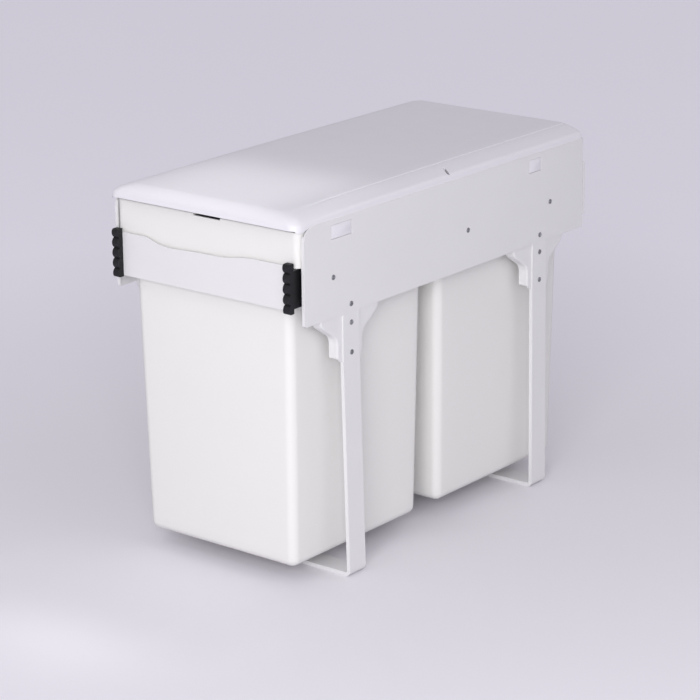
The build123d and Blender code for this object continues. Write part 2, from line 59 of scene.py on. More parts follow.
# Rows of points made into a piece in metres; rows run round, and both end rows are closed by one flat face each.
def shellFromRings(name, rings, body, smoothAngle=32):
    rows, columns = rings.shape[:2]
    faces = gridFaces(rows, columns, closeColumns=True).tolist()
    faces.append(list(range(columns))[::-1])
    faces.append(list(range((rows - 1) * columns, rows * columns)))
    return newPiece(name, rings.reshape(-1, 3), faces, body, smoothAngle)


def newPiece(name, points, faces, body, smoothAngle=32):
    mesh = bpy.data.meshes.new(name)
    mesh.from_pydata((np.asarray(points) * mm).tolist(), [], faces)
    mesh.validate()
    return placePiece(name, mesh, body, smoothAngle)


def placePiece(name, mesh, body, smoothAngle=32):
    piece = bpy.data.objects.new(name, mesh)
    scene.collection.objects.link(piece)
    mesh.shade_smooth()
    mesh.set_sharp_from_angle(angle=math.radians(smoothAngle))
    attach(piece, body)
    return piece


softening = dict(mergeMetres=2e-6, flatDegrees=0.5)


# A merged copy of a node's mesh with its flat triangles joined and its sharp edges rounded by a bevel.
def softEdges(nodeName, body, width, segments=2, angle=30):
    mesh = nodes[nodeName].data.copy()
    work = bmesh.new()
    work.from_mesh(mesh)
    bmesh.ops.remove_doubles(work, verts=work.verts, dist=softening["mergeMetres"])
    flatAngle = math.radians(softening["flatDegrees"])
    bmesh.ops.dissolve_limit(work, angle_limit=flatAngle, verts=work.verts, edges=work.edges)
    work.to_mesh(mesh)
    work.free()
    piece = placePiece(nodeName + "_finished", mesh, body, angle)
    bevel = piece.modifiers.new("edge", "BEVEL")
    bevel.width = width * mm
    bevel.segments = segments
    bevel.limit_method = "ANGLE"
    bevel.angle_limit = math.radians(angle)
    bevel.use_clamp_overlap = True
    bevel.harden_normals = True
    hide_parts(nodeName)
    return piece


# Closed loops of points: rectangles with rounded corners, from the front right corner anticlockwise. Each ring has
# its own half width, front, rear and corner radii; a corner is its centre plus radius times cosine and sine, and
# a side is shared evenly between two corners, or at the front by the given shares.
def roundedRings(half, front, rear, frontRadius, rearRadius, z, cornerSteps=10, sideSteps=10, frontShares=None):
    values = [np.atleast_1d(np.asarray(value, float)) for value in (half, front, rear, frontRadius, rearRadius, z)]
    half, front, rear, frontRadius, rearRadius, z = [v[:, None] for v in np.broadcast_arrays(*values)]
    turn = np.linspace(0, math.pi / 2, cornerSteps)
    corners = []
    for number, (side, atRear) in enumerate(((1, False), (1, True), (-1, True), (-1, False))):
        radius = rearRadius if atRear else frontRadius
        angle = turn + (number - 1) * math.pi / 2
        middleY = rear - radius if atRear else front + radius
        cornerX = side * (half - radius) + radius * np.cos(angle)
        corners.append(np.stack([cornerX, middleY + radius * np.sin(angle)], -1))
    evenShares = np.arange(1, sideSteps + 1) / (sideSteps + 1)
    loop = []
    for number, corner in enumerate(corners):
        start, end = corner[:, -1:], corners[(number + 1) % 4][:, :1]
        shares = evenShares if number < 3 or frontShares is None else frontShares
        loop += [corner, start + (end - start) * shares[None, :, None]]
    flat = np.concatenate(loop, 1)
    height = np.broadcast_to(z[:, :, None], flat.shape[:2] + (1,))
    return np.concatenate([flat, height], -1)


# Points of a quarter turn of a profile, from one direction to the next, as an offset and a height.
def arc(centreInset, centreHeight, radius, startDegrees, endDegrees, steps):
    angle = np.radians(np.linspace(startDegrees, endDegrees, steps))
    return np.stack([centreInset + radius * np.cos(angle), centreHeight + radius * np.sin(angle)], -1)


def smoothStep(value, width=0.16):
    share = np.clip(value / width + 0.5, 0, 1)
    return share * share * (3 - 2 * share)


def newMaterial(name, colour, roughness, metallic=0.0):
    material = bpy.data.materials.new(name)
    material.use_nodes = True
    tree = material.node_tree
    shader = tree.nodes["Principled BSDF"]
    shader.inputs["Base Color"].default_value = (*colour, 1)
    shader.inputs["Roughness"].default_value = roughness
    shader.inputs["Metallic"].default_value = metallic
    return material, tree, shader


def addNode(tree, kind, **settings):
    node = tree.nodes.new(kind)
    for key, value in settings.items():
        if key in node.inputs:
            node.inputs[key].default_value = value
        else:
            setattr(node, key, value)
    return node


# Noise on object coordinates, stretched by scale (repeats per metre along x, y and z).
def addNoise(tree, scale, detail=3.0, rough=0.55):
    where = addNode(tree, "ShaderNodeTexCoord")
    stretch = addNode(tree, "ShaderNodeMapping")
    stretch.inputs["Scale"].default_value = scale
    noise = addNode(tree, "ShaderNodeTexNoise", Scale=1.0, Detail=detail, Roughness=rough)
    tree.links.new(where.outputs["Object"], stretch.inputs["Vector"])
    tree.links.new(stretch.outputs["Vector"], noise.inputs["Vector"])
    return noise.outputs["Fac"]


# A linear map of a value; noise seldom leaves the middle 0.3 to 0.7 of its range.
def addRamp(tree, source, lowValue, highValue, low=0.3, high=0.7):
    ramp = addNode(tree, "ShaderNodeMapRange")
    tree.links.new(source, ramp.inputs["Value"])
    for key, value in (("From Min", low), ("From Max", high), ("To Min", lowValue), ("To Max", highValue)):
        ramp.inputs[key].default_value = value
    return ramp.outputs["Result"]


# Either side of the mix is a fixed colour or the output of another node.
def mixColours(tree, factor, first, second):
    mix = addNode(tree, "ShaderNodeMix", data_type="RGBA")
    tree.links.new(factor, mix.inputs[0])
    for socket, colour in ((mix.inputs[6], first), (mix.inputs[7], second)):
        if isinstance(colour, tuple):
            socket.default_value = (*colour, 1)
        else:
            tree.links.new(colour, socket)
    return mix.outputs[2]


def addBump(tree, shader, source, strength, distance):
    bump = addNode(tree, "ShaderNodeBump", Strength=strength, Distance=distance)
    tree.links.new(source, bump.inputs["Height"])
    tree.links.new(bump.outputs["Normal"], shader.inputs["Normal"])


def shade(colour, factor):
    return tuple(channel * factor for channel in colour)


powderCoat = dict(
    colour=(0.800, 0.796, 0.800), roughness=(0.30, 0.42), specular=0.45, tones=(0.975, 1.015), driftPerMetre=9,
    glossPerMetre=60, peelPerMetre=650, peelStrength=0.10, peelDepth=0.0004,
)


# White powder coat: faint orange peel, slow drift of tone and gloss.
def powderCoatMaterial(name):
    colour = powderCoat["colour"]
    material, tree, shader = newMaterial(name, colour, sum(powderCoat["roughness"]) / 2)
    darker, paler = (shade(colour, tone) for tone in powderCoat["tones"])
    drift = addNoise(tree, (powderCoat["driftPerMetre"],) * 3, detail=2.0)
    tree.links.new(mixColours(tree, drift, darker, paler), shader.inputs["Base Color"])
    gloss = addNoise(tree, (powderCoat["glossPerMetre"],) * 3, detail=4.0)
    tree.links.new(addRamp(tree, gloss, *powderCoat["roughness"]), shader.inputs["Roughness"])
    peel = addNoise(tree, (powderCoat["peelPerMetre"],) * 3, detail=3.0, rough=0.6)
    addBump(tree, shader, peel, powderCoat["peelStrength"], powderCoat["peelDepth"])
    shader.inputs["Specular IOR Level"].default_value = powderCoat["specular"]
    return material


plastics = dict(
    lid=dict(colour=(0.825, 0.81, 0.85), roughness=0.37, grainPerMetre=1600, grainStrength=0.05),
    bin=dict(colour=(0.848, 0.843, 0.82), roughness=0.49, grainPerMetre=1300, grainStrength=0.09),
    grip=dict(colour=(0.0035, 0.0035, 0.0055), roughness=0.55, grainPerMetre=1500, grainStrength=0.12,
              flow=(20, 20, 20), spread=0.1, specular=0.42),
    buffer=dict(colour=(0.02, 0.02, 0.02), roughness=0.75, grainPerMetre=900, grainStrength=0.2),
)
moulding = dict(glossPerMetre=45, glossier=0.05, duller=0.07, grainDepth=0.0003, palerShare=0.6)


# Moulded plastic: fine spark grain, slow flow marks in tone, slight gloss drift.
def mouldedMaterial(name, colour, roughness, grainPerMetre, grainStrength,
                    flow=(3, 5, 7), spread=0.02, specular=0.5):
    material, tree, shader = newMaterial(name, colour, roughness)
    darker, paler = shade(colour, 1 - spread), shade(colour, 1 + spread * moulding["palerShare"])
    drift = addNoise(tree, flow, detail=2.0)
    tree.links.new(mixColours(tree, drift, darker, paler), shader.inputs["Base Color"])
    gloss = addNoise(tree, (moulding["glossPerMetre"],) * 3, detail=4.0)
    dullness = addRamp(tree, gloss, roughness - moulding["glossier"], roughness + moulding["duller"])
    tree.links.new(dullness, shader.inputs["Roughness"])
    grain = addNoise(tree, (grainPerMetre,) * 3, detail=2.0, rough=0.5)
    addBump(tree, shader, grain, grainStrength, moulding["grainDepth"])
    shader.inputs["Specular IOR Level"].default_value = specular
    return material


metals = dict(
    slide=dict(colour=(0.72, 0.73, 0.75), roughness=0.34),
    cage=dict(colour=(0.56, 0.57, 0.59), roughness=0.42),
    ball=dict(colour=(0.78, 0.78, 0.80), roughness=0.16, streak=(300, 300, 300)),
    screw=dict(colour=(0.30, 0.30, 0.32), roughness=0.40, streak=(500, 500, 500)),
)
plating = dict(tones=(0.86, 1.08), glossier=0.08, duller=0.12, streakStrength=0.12, streakDepth=0.0002)


# Plated steel: streaks drawn along the length of the slide and small dull spots.
def platedMaterial(name, colour, roughness, streak=(900, 12, 900)):
    material, tree, shader = newMaterial(name, colour, roughness, 1.0)
    darker, paler = (shade(colour, tone) for tone in plating["tones"])
    lines = addNoise(tree, streak, detail=4.0, rough=0.7)
    tree.links.new(mixColours(tree, lines, darker, paler), shader.inputs["Base Color"])
    dullness = addRamp(tree, lines, roughness - plating["glossier"], roughness + plating["duller"])
    tree.links.new(dullness, shader.inputs["Roughness"])
    addBump(tree, shader, lines, plating["streakStrength"], plating["streakDepth"])
    return material


whiteSteel = powderCoatMaterial("whitePowderCoat")
lidPlastic = mouldedMaterial("lidPlastic", **plastics["lid"])
binPlastic = mouldedMaterial("binPlastic", **plastics["bin"])
gripPlastic = mouldedMaterial("gripPlastic", **plastics["grip"])
bufferRubber = mouldedMaterial("bufferRubber", **plastics["buffer"])
slideSteel = platedMaterial("zincPlate", **metals["slide"])
cageSteel = platedMaterial("cageSteel", **metals["cage"])
ballSteel = platedMaterial("ballSteel", **metals["ball"])
screwSteel = platedMaterial("screwSteel", **metals["screw"])
print("materials made")


def finish(piece, material):
    piece.data.materials.clear()
    piece.data.materials.append(material)
    return piece


def sizeOf(nodeName):
    low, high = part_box(nodeName)
    return np.array(low) / mm, np.array(high) / mm


lidLow, lidHigh = sizeOf("lid")
panelLow, panelHigh = sizeOf("side_panel_right")
panelTop = panelHigh[2]
panelFront = panelLow[1]

lid = dict(
    wall=2.2, rimTuck=0.7, rimDraft=0.4, rimHeight=3.4, smoothAngle=40,
    shoulderInset=3.2, shoulderHeight=7.5, shoulderTurn=76, shoulderSteps=8,
    flankHeight=13.15, flankCrown=1.35, flankSteps=11, sideBorder=22.7, frontBorder=13.0, rearBorder=1.2,
    grooveOffset=1.6, grooveSlope=0.35, grooveFloor=0.75, grooveDepth=0.35, crestOffset=0.2, crestRound=0.9,
    tableInsets=(34.0, 62.0), frontCorner=11.0, cornerShrink=2.0, rearCorner=4.5,
    droop=1.6, droopLength=350.0,  # sinking of the top towards the front
    crestFadeStart=6.0, crestFadeLength=75.0,  # where the crest runs out into the plain front
    rollPastBorder=4.0, rollPower=1.75, rollStart=0.6, rollFirstAngle=0.06,
    lipDrop=1.7, lipReach=8.0, lipBlend=8.0,
    cornerRadius=15.0, cornerGap=0.35, cornerDrop=4.0, cornerHalf=116.5,  # at the panels' front corners
    crestSteps=6, cornerSteps=14, sideSteps=60,
)


# Height of the lid over the panels as a function of the inset from its side: a shoulder of an elliptic arc, a flank
# that rises by one minus a power of what is left of the border, a fine groove, and a rounded crest. The plain form,
# for the front, is one superellipse from the rim to the flat top.
def lidProfile(plain=False):
    turn = np.radians(np.linspace(0, lid["shoulderTurn"], lid["shoulderSteps"]))
    shoulder = np.stack([
        lid["rimDraft"] + (lid["shoulderInset"] - lid["rimDraft"]) * (1 - np.cos(turn)) / (1 - math.cos(turn[-1])),
        lid["rimHeight"] + (lid["shoulderHeight"] - lid["rimHeight"]) * np.sin(turn) / math.sin(turn[-1]),
    ], -1)
    share = np.linspace(0, 1, lid["flankSteps"] + 1)[1:]
    grooveInset = lid["sideBorder"] - lid["grooveOffset"]
    rise = lid["flankHeight"] - lid["shoulderHeight"]
    flank = np.stack([
        lid["shoulderInset"] + (grooveInset - lid["shoulderInset"]) * share,
        lid["shoulderHeight"] + rise * (1 - (1 - share) ** lid["flankCrown"]),
    ], -1)
    top = lidHigh[2] - panelTop
    groove = np.array([
        [grooveInset + lid["grooveSlope"], lid["flankHeight"] - lid["grooveDepth"]],
        [grooveInset + lid["grooveFloor"], lid["flankHeight"] - lid["grooveDepth"]],
    ])
    crestStart = lid["sideBorder"] - lid["crestOffset"]
    crestRound = lid["crestRound"]
    crest = arc(crestStart + crestRound, top - crestRound, crestRound, 180, 90, lid["crestSteps"])
    ridged = np.concatenate([shoulder, flank, groove, crest])
    if not plain:
        return ridged
    span = lid["sideBorder"] + lid["rollPastBorder"]
    turn = np.linspace(lid["rollFirstAngle"], math.pi / 2, len(ridged))
    inset = lid["rimDraft"] + (span - lid["rimDraft"]) * (1 - np.cos(turn))
    share = 1 - inset / span
    rise = (1 - share ** lid["rollPower"]) ** (1 / lid["rollPower"])
    return np.stack([inset, lid["rollStart"] + (top - lid["rollStart"]) * rise], -1)


def lidRings(profile, shell):
    inset, height = profile[:, 0], profile[:, 1]
    half = lidHigh[0] - lid["rimTuck"] - shell
    share = inset / lid["sideBorder"]
    front = lidLow[1] + shell + share * lid["frontBorder"]
    rear = lidHigh[1] - shell - share * lid["rearBorder"]
    frontRadius = lid["frontCorner"] - shell - np.clip(share, 0, 1) * lid["cornerShrink"]
    rearRadius = np.full(len(inset), lid["rearCorner"] - shell)
    steps = (lid["cornerSteps"], lid["sideSteps"])
    return roundedRings(half - inset, front, rear, frontRadius, rearRadius, panelTop + height, *steps)


# The top sinks towards the front by a parabola in y, in full at the flat top and not at all at the rim.
def lowerFront(rings):
    ahead = np.clip((panelFront + lid["droopLength"] - rings[..., 1]) / lid["droopLength"], 0, 1)
    above = np.clip((rings[..., 2] - panelTop - lid["rimHeight"]) / (lid["flankHeight"] - lid["rimHeight"]), 0, 1)
    rings[..., 2] -= lid["droop"] * ahead ** 2 * above
    return rings


# Behind the lip the rim's foot follows the panel's rounded front corner, which falls by its radius less the root of
# the radius squared minus the square of the length still left of the corner.
def followCorner(foot):
    radius = lid["cornerRadius"]
    left = np.clip(radius + panelFront - foot[..., 1], 0, radius)
    fall = radius - np.sqrt(radius ** 2 - left ** 2) - lid["cornerGap"]
    outside = np.abs(foot[..., 0]) > lid["cornerHalf"]
    drop = np.where(outside, np.clip(fall, 0, lid["cornerDrop"]), 0)
    foot[..., 2] = np.minimum(foot[..., 2], panelTop - drop)
    return foot


def makeLid():
    outer = lidProfile()
    inner = outer[:lid["shoulderSteps"] + lid["flankSteps"] + 1] - np.array([0, lid["wall"]])
    tableInsets = np.array(lid["tableInsets"])
    tableHeight = lidHigh[2] - panelTop
    ceiling = np.stack([tableInsets[::-1], np.full(2, tableHeight - lid["wall"])], -1)
    table = np.stack([tableInsets, np.full(2, tableHeight)], -1)
    foot = np.zeros((1, 2))
    inside = lidRings(np.concatenate([ceiling, inner[::-1], foot]), lid["wall"])
    ridged = lidRings(np.concatenate([foot, foot, outer, table]), 0.0)
    plain = lidRings(np.concatenate([foot, foot, lidProfile(True), table]), 0.0)
    behind = (ridged[..., 1:2] - panelFront - lid["crestFadeStart"]) / lid["crestFadeLength"]
    outside = plain + (ridged - plain) * smoothStep(behind - 0.5, 1)
    rings = lowerFront(np.concatenate([inside, outside]))
    footRows = [len(inside) - 1, len(inside)]
    lip = rings[footRows, :, 1] < panelFront + lid["lipReach"]
    rings[footRows, :, 2] -= lid["lipDrop"] * lip
    row = rings[footRows[1] + 1]
    row[:, 2] -= lid["lipDrop"] * smoothStep((panelFront - row[:, 1]) / lid["lipBlend"], 1)
    rings[footRows] = followCorner(rings[footRows])
    piece = shellFromRings("lid_shell", rings, "carcass", lid["smoothAngle"])
    cutSlits(piece)
    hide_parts("lid")
    return finish(piece, lidPlastic)


slit = dict(inset=7.7, length=12.6, width=3.1, turn=29.0, setback=233.8, above=7.0, depth=20.0)


# The slits through both flanks are cut by two slanted blocks, and the result is baked into the mesh.
def cutSlits(piece):
    work = bmesh.new()
    for side in (1, -1):
        y, z = panelHigh[1] - slit["setback"], panelTop + slit["above"]
        place = Vector((side * (lidHigh[0] - slit["inset"]), y, z)) * mm
        size = Matrix.Diagonal((slit["length"] * mm, slit["width"] * mm, slit["depth"] * mm, 1))
        turn = Matrix.Rotation(math.radians(-side * slit["turn"]), 4, "Z")
        bmesh.ops.create_cube(work, matrix=Matrix.Translation(place) @ turn @ size)
    mesh = bpy.data.meshes.new("slitCutter")
    work.to_mesh(mesh)
    work.free()
    cutter = bpy.data.objects.new("slitCutter", mesh)
    scene.collection.objects.link(cutter)
    cut = piece.modifiers.new("slits", "BOOLEAN")
    cut.operation = "DIFFERENCE"
    cut.solver = "EXACT"
    cut.object = cutter
    bpy.context.view_layer.update()
    baked = bpy.data.meshes.new_from_object(piece.evaluated_get(bpy.context.evaluated_depsgraph_get()))
    piece.modifiers.clear()
    piece.data = baked
    bpy.data.objects.remove(cutter)
    baked.shade_smooth()
    baked.set_sharp_from_angle(angle=math.radians(lid["smoothAngle"]))


tab = dict(
    windowDrop=5.5, windowHeight=14.0, gap=0.25, reach=1.45, root=0.5, sheet=1.7, round=0.5, faceShare=0.3,
    frontStart=41.0, frontLength=31.0, rearEnd=79.0, rearLength=21.0, length=21.0, above=3.0,
    panelSheet=1.5, panelGap=0.1, corner=1.0, edgeShare=0.3,
)


# Each snap tab is a slab with a nub that stands in the panel's window, both from rounded rectangles stacked along x.
def makeTabs():
    rearStart = panelHigh[1] - panelFront - tab["rearEnd"] - tab["rearLength"]
    windows = dict(front=(tab["frontStart"], tab["frontLength"]), rear=(rearStart, tab["rearLength"]))
    face = panelHigh[0] - tab["panelSheet"] - tab["panelGap"]
    top = panelTop - tab["windowDrop"]
    slabs = dict(
        tab=(face - tab["sheet"], face, panelTop - tab["length"], panelTop + tab["above"]),
        nub=(face - tab["root"], face + tab["reach"], top - tab["windowHeight"] + tab["gap"], top - tab["gap"]),
    )
    for side, sideName in ((1, "right"), (-1, "left")):
        for place, (start, length) in windows.items():
            y0 = panelFront + start + tab["gap"]
            y1 = y0 + length - 2 * tab["gap"]
            for kind, (x0, x1, z0, z1) in slabs.items():
                rounding, halfHeight = tab["round"], (z1 - z0) / 2
                faceInset = min(y1 - y0, z1 - z0) * tab["faceShare"]
                edge, corner = rounding * tab["edgeShare"], tab["corner"]
                inset = np.array([faceInset, rounding, 0, 0, edge, rounding])
                depth = np.array([x0, x0, x0 + rounding, x1 - rounding, x1 - edge, x1])
                rings = roundedRings(halfHeight - inset, y0 + inset, y1 - inset, corner, corner, depth, 4, 2)
                rings = np.stack([rings[..., 2], rings[..., 1], (z0 + z1) / 2 - rings[..., 0]], -1)
                if side < 0:
                    rings = rings[:, ::-1] * np.array([-1, 1, 1])
                piece = shellFromRings(f"lid_{kind}_{place}_{sideName}", rings, "carcass")
                finish(piece, lidPlastic)


makeLid()
makeTabs()
print("lid made")


bins = dict(
    wall=2.0, taper=0.017, crown=0.25, wallRows=12, wallStart=8, corner=9.0, foot=8.0, footRows=8,
    soleInset=30, soleCorner=12, ledge=331.7, sideGap=15.7, smoothAngle=38,
    collarCorner=8.0, collarRows=6, ledgeRound=0.6, rimRound=0.9, rimWidth=6.5, rimChamfer=0.6, frontStations=24,
    skirtDrop=13.7, skirtHalf=102.8, skirtStep=0.4, apronDrop=6.0, apronEnd=4.3,
    notchLeft=-15.0, notchRight=19.0, notchDepth=2.2, notchStep=0.3,
    smallestCorner=0.6, skirtSlack=0.1, endSlack=0.2, notchSlack=0.5, cornerSteps=12, sideSteps=12,
)


# A bin is one closed skin of rings: foot arc, wall drawn in evenly towards the foot, ledge, collar, rolled rim, then
# the same inside by one wall less. The wall's crown is a small sine bulge up its height.
def makeBin(name, wallFront, wallRear, frontSkirt, notch):
    low, high = sizeOf(name)
    half = high[0] - bins["sideGap"]
    foot, ledge, top = low[2], bins["ledge"], high[2]
    rows = []

    def addRing(inset, z, corner, collar):
        front = low[1] + inset if collar else wallFront + inset
        rear = high[1] - inset if collar else wallRear - inset
        radius = max(corner - max(inset, 0), bins["smallestCorner"])
        rows.append(((high[0] if collar else half) - inset, front, rear, radius, z))

    def addCollarRing(inset, z):
        addRing(inset, z, bins["collarCorner"], True)

    def drawIn(z):
        return bins["taper"] * (ledge - z)

    def addSole(wall):
        inset = bins["soleInset"]
        addRing(drawIn(foot) + wall + inset, foot + wall, bins["soleCorner"] + inset, False)

    def addFoot(wall, upward):
        radius = bins["foot"] - wall
        angles = np.radians(np.linspace(270, 360, bins["footRows"]))
        for angle in (angles if upward else angles[::-1]):
            inset = radius * (1 - math.cos(angle))
            z = foot + wall + radius * (1 + math.sin(angle))
            addRing(drawIn(z) + wall + inset, z, bins["corner"] + drawIn(z), False)

    def addBody(wall, start, end):
        for z in np.linspace(start, end, bins["wallRows"]):
            bulge = bins["crown"] * math.sin(math.pi * (z - foot) / (ledge - foot))
            addRing(drawIn(z) + wall - bulge, z, bins["corner"] + drawIn(z), False)

    wall, rim, roll, chamfer = (bins[key] for key in ("wall", "rimWidth", "rimRound", "rimChamfer"))
    wallStart = foot + bins["foot"] + bins["wallStart"]
    addSole(0)
    addFoot(0, True)
    addBody(0, wallStart, ledge)
    skirtRow = len(rows)
    addCollarRing(0, ledge)
    for z in np.linspace(ledge + bins["ledgeRound"], top - roll, bins["collarRows"]):
        addCollarRing(0, z)
    for angle in np.radians((30, 60, 90)):
        addCollarRing(roll * (1 - math.cos(angle)), top - roll + roll * math.sin(angle))
    for inset, z in ((rim - chamfer, top), (rim, top - chamfer), (rim, top - wall), (wall, top - wall)):
        addCollarRing(inset, z)
    addCollarRing(wall, ledge + wall)
    addBody(wall, ledge + wall, wallStart)
    addFoot(wall, False)
    addSole(wall)
    table = np.array(rows)
    straight = high[0] - bins["collarCorner"]
    step = bins["notchStep"]
    notchEnds = [place + shift for place in (bins["notchLeft"], bins["notchRight"]) for shift in (-step, step)]
    skirtEnds = [side * (bins["skirtHalf"] + shift) for side in (-1, 1) for shift in (0, bins["skirtStep"])]
    even = np.linspace(-straight, straight, bins["frontStations"])[1:-1]
    stations = np.sort(np.concatenate([even, notchEnds, skirtEnds]))
    shares = (stations + straight) / (2 * straight)
    halves, fronts, rears, corners, heights = table.T
    steps = (bins["cornerSteps"], bins["sideSteps"])
    rings = roundedRings(halves, fronts, rears, corners, corners, heights, *steps, shares)
    skirt = rings[skirtRow]
    atSkirt = np.abs(skirt[:, 0]) < bins["skirtHalf"] + bins["skirtSlack"]
    endSlack = bins["endSlack"]
    nearEnd = skirt[:, 1] < low[1] + endSlack if frontSkirt else skirt[:, 1] > high[1] - endSlack
    skirt[:, 2] -= bins["skirtDrop"] * (atSkirt & nearEnd)
    if frontSkirt:
        atApron = ~atSkirt & (skirt[:, 1] < panelFront + bins["apronEnd"])
        skirt[:, 2] -= bins["apronDrop"] * atApron
    if notch:
        x = rings[..., 0]
        atFront = rings[..., 1] < low[1] + rim + bins["notchSlack"]
        inNotch = (x > bins["notchLeft"]) & (x < bins["notchRight"]) & atFront
        notchFloor = top - bins["notchDepth"]
        rings[..., 2] = np.where(inNotch, np.minimum(rings[..., 2], notchFloor), rings[..., 2])
    piece = shellFromRings(name + "_shell", rings, "drawer", bins["smoothAngle"])
    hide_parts(name)
    return finish(piece, binPlastic)


binWalls = dict(front=(2.5, 210.7), rear=(235.1, 452.3))  # the walls' ends at the ledge, behind the panels' front
for place, (wallFront, wallRear) in binWalls.items():
    isFront = place == "front"
    makeBin(f"{place}_bin", panelFront + wallFront, panelFront + wallRear, isFront, isFront)
print("bins made")


edgeWidths = dict(panel=0.5, plate=0.35, strap=0.9, bracket=0.35, band=0.35, rail=0.3, grip=0.7)


def dressSteel():
    for side in ("left", "right"):
        finish(softEdges(f"side_panel_{side}", "carcass", edgeWidths["panel"]), whiteSteel)
        for place in ("front", "rear"):
            bracket = softEdges(f"leg_bracket_{place}_{side}", "carcass", edgeWidths["bracket"])
            finish(bracket, whiteSteel)
        finish(softEdges(f"drawer_side_rail_{side}", "drawer", edgeWidths["rail"]), whiteSteel)
        finish(softEdges(f"grip_{side}", "drawer", edgeWidths["grip"], 3), gripPlastic)
    for place in ("front", "rear"):
        finish(softEdges(f"foot_strap_{place}", "carcass", edgeWidths["strap"], 3), whiteSteel)
    finish(softEdges("rear_cross_plate", "carcass", edgeWidths["plate"]), whiteSteel)
    for name in ("drawer_front_band", "drawer_rear_rail", "drawer_cross_rail"):
        finish(softEdges(name, "drawer", edgeWidths["band"]), whiteSteel)


def dressSlides():
    for name, node in nodes.items():
        if name.startswith("slide_") and name not in ("slide_rivets", "slide_end_buffers"):
            finish(node, slideSteel)
        elif "cage" in name:
            finish(node, cageSteel)
        elif "balls" in name:
            finish(node, ballSteel)
        elif name in ("rear_plate_rivets", "rail_rivets", "grip_screws"):
            finish(node, screwSteel)
        elif name == "slide_end_buffers":
            finish(node, bufferRubber)


dressSteel()
dressSlides()
print("steel, grips and slides dressed")


screws = dict(
    radius=2.6, height=0.95, crossArm=1.55, crossHalf=0.42, crossDepth=0.75, crossSlope=0.35, dimple=1.3,
    dimpleDepth=0.55, sink=0.15, pole=0.03, innerRing=0.12, rings=16, sides=48, firstTurn=0.5, turnStep=0.83,
    smoothAngle=50, heights=(276.5, 258.0, 228.0), rivetSetbacks=(43.0, 259.0, 404.0),
    crownReach=1.03, crownPower=4,
)


# A round head on a polar grid: the height is the root of one minus a power of the radius, less a cross or a dimple
# whose sides are smooth steps.
def headRings(cross):
    radius = np.concatenate([[screws["pole"]], np.linspace(screws["innerRing"], screws["radius"], screws["rings"])])
    angle = np.linspace(0, 2 * math.pi, screws["sides"], endpoint=False)
    r, a = np.meshgrid(radius, angle, indexing="ij")
    across, up = r * np.cos(a), r * np.sin(a)
    share = r / (screws["radius"] * screws["crownReach"])
    height = screws["height"] * np.sqrt(np.clip(1 - share ** screws["crownPower"], 0, 1))
    if cross:
        half, arm = screws["crossHalf"], screws["crossArm"]
        armOne = smoothStep(half - np.abs(across)) * smoothStep(arm - np.abs(up))
        armTwo = smoothStep(half - np.abs(up)) * smoothStep(arm - np.abs(across))
        height -= screws["crossDepth"] * np.maximum(armOne, armTwo) * (1 - screws["crossSlope"] * r / arm)
    else:
        height -= screws["dimpleDepth"] * smoothStep(screws["dimple"] - r)
    rings = np.stack([height, across, up], -1)[::-1]
    foot = np.stack([np.full(screws["sides"], -screws["sink"]), across[-1], up[-1]], -1)[None]
    return np.concatenate([foot, rings])


# Every head is a turned copy of one set of rings, and the heads of both sides make one piece.
def placeHeads(name, nodeName, places, cross):
    points, faces, count = [], [], 0
    base = headRings(cross)
    rows, columns = base.shape[:2]
    quads = gridFaces(rows, columns, closeColumns=True)
    for number, (y, z) in enumerate(places):
        turn = screws["firstTurn"] + number * screws["turnStep"]
        spun = np.stack([
            base[..., 0],
            base[..., 1] * math.cos(turn) - base[..., 2] * math.sin(turn),
            base[..., 1] * math.sin(turn) + base[..., 2] * math.cos(turn),
        ], -1)
        for side in (1, -1):
            head = spun * np.array([side, 1, 1]) + np.array([side * panelHigh[0], y, z])
            points.append(head.reshape(-1, 3))
            faces += (quads[:, ::side] + count).tolist()
            footCap = np.arange(columns)[::-side] + count
            topCap = np.arange((rows - 1) * columns, rows * columns)[::side] + count
            faces += [footCap.tolist(), topCap.tolist()]
            count += rows * columns
    piece = newPiece(name, np.concatenate(points), faces, "carcass", screws["smoothAngle"])
    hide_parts(nodeName)
    return finish(piece, screwSteel)


strapY = [np.mean(sizeOf(f"foot_strap_{place}"), 0)[1] for place in ("front", "rear")]
slideAxis = np.mean(sizeOf("slide_outer_right"), 0)[2]
rivetPlaces = [(panelFront + setback, slideAxis) for setback in screws["rivetSetbacks"]]
placeHeads("bracket_screw_heads", "bracket_screws", [(y, z) for y in strapY for z in screws["heights"]], True)
placeHeads("slide_rivet_heads", "slide_rivets", rivetPlaces, False)
print("screws and rivets made")


surround = dict(
    floorRings=(0.02, 0.5, 2.0, 6.0, 14.0), floorSides=96, floorColour=(0.62, 0.60, 0.66), floorRoughness=0.5,
    floorSeen=(0.865, 0.845, 0.89), floorTones=(0.985, 1.01), driftPerMetre=2,
    glow=(1.0, 0.965, 1.19), glowStart=0.18, glowEnd=1.10, glowStrength=0.12,
    worldColour=(0.80, 0.78, 0.84), worldStrength=0.68,
)


